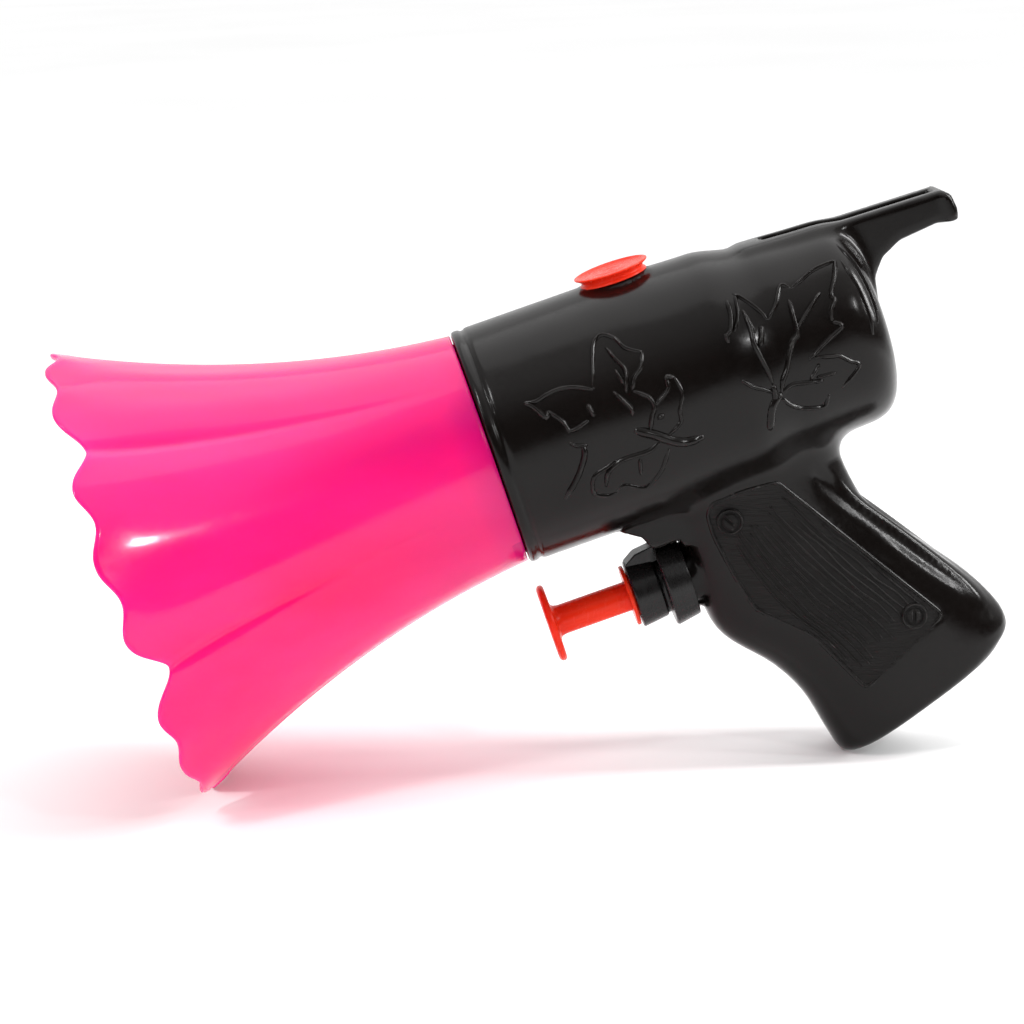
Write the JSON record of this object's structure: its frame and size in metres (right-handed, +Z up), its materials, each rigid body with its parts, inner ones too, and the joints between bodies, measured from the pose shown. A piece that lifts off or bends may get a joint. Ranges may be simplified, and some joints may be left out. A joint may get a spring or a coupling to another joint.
{
  "type": "toy water pistol",
  "caption": "Blow-moulded toy water pistol with a fluted flared muzzle bell, a push-in plunger trigger, a fill plug and a ball-valve pump in the grip.",
  "frame": {"origin": "on the floor, under the middle of the bounding box, with the pistol standing on the rim of its bell and the toe of its grip", "axes": "+Z up, +X towards the back of the pistol, the muzzle towards -X and 16.9 degrees below the horizontal, Y side to side"},
  "size_m": [0.1896, 0.093, 0.1141],
  "materials": {
    "black_body": "glossy black blow-moulded plastic with moulded relief",
    "black_collar": "glossy black injection-moulded plastic",
    "pink_bell": "glossy, faintly translucent hot-pink plastic",
    "red_plastic": "orange-red moulded plastic, satin gloss",
    "clear_plastic": "milky natural plastic of the pump",
    "clear_tube": "soft milky tubing",
    "seal_rubber": "matt black seal rubber",
    "steel": "bright stainless steel"
  },
  "bodies": {
    "pistol": {"body_shell": "black_body", "bell": "pink_bell", "nozzle_tip": "red_plastic", "nozzle_gasket": "seal_rubber", "delivery_tube": "clear_tube", "outlet_valve_body": "clear_plastic", "guide_ring": "red_plastic", "collar": "black_collar", "neck_gasket": "seal_rubber", "pump_cylinder": "clear_plastic", "return_spring": "steel", "ball_retainer": "clear_plastic", "intake_tube": "clear_tube"},
    "trigger": {"trigger": "red_plastic", "piston_seal": "seal_rubber"},
    "plug": {"fill_plug": "red_plastic"},
    "inlet_ball": {"inlet_ball": "steel"},
    "outlet_ball": {"outlet_ball": "steel"}
  },
  "joints": [
    {"name": "trigger_push", "type": "slide", "parent": "pistol", "child": "trigger", "axis": [0.957, 0, 0.2902], "range_m": [0, 0.014], "stiffness_N_per_m": 300, "springref_m": -0.006, "deforming": ["return_spring"]},
    {"name": "plug_lift", "type": "slide", "parent": "pistol", "child": "plug", "axis": [-0.2902, 0, 0.957], "range_m": [0, 0.014]},
    {"name": "inlet_ball_lift", "type": "slide", "parent": "pistol", "child": "inlet_ball", "axis": [-0.957, 0, -0.2902], "range_m": [0, 0.0008]},
    {"name": "outlet_ball_lift", "type": "slide", "parent": "pistol", "child": "outlet_ball", "axis": [-0.2902, 0, 0.957], "range_m": [0, 0.0008]}
  ]
}
